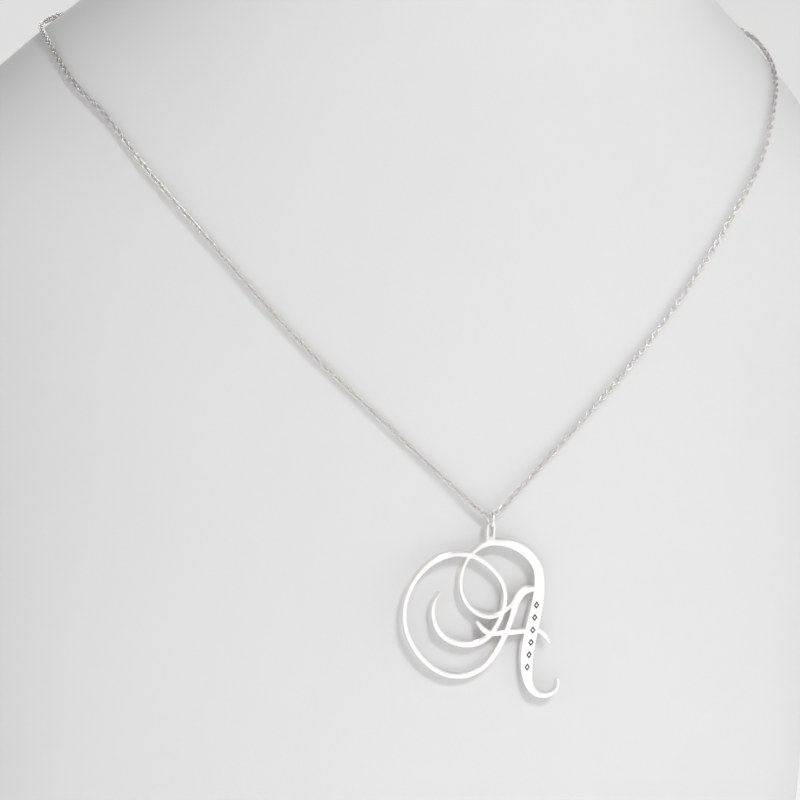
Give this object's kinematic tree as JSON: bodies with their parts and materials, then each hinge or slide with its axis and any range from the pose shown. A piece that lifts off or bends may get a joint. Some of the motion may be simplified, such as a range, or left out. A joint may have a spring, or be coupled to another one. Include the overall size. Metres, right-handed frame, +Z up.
{
  "type": "initial pendant necklace on neck bust",
  "caption": "Flat script initial pendant hung by a jump ring from a fine cable chain, worn by a plain white display neck bust.",
  "frame": {"origin": "middle of the bust's flat base", "axes": "+X across the shoulders to the viewer's right, -Y the front that the pendant hangs on, +Z up"},
  "size_m": [0.18, 0.1126, 0.245],
  "materials": {
    "bust": "fine matte white",
    "silver": "polished silver"
  },
  "bodies": {
    "stand": {"neck_bust": "bust", "chain": "silver", "clasp": "silver"},
    "ring": {"jump_ring": "silver"},
    "letter": {"initial": "silver"}
  },
  "joints": [
    {"name": "ring_swing", "type": "hinge", "parent": "stand", "child": "ring", "pos_m": [0, -0.04819, 0.11885], "axis": [-1, 0, 0], "range_deg": [0, 90]},
    {"name": "letter_swing", "type": "hinge", "parent": "ring", "child": "letter", "pos_m": [0, -0.04827, 0.11699], "axis": [0, -0.9991, 0.0431], "range_deg": [-40, 40]}
  ]
}
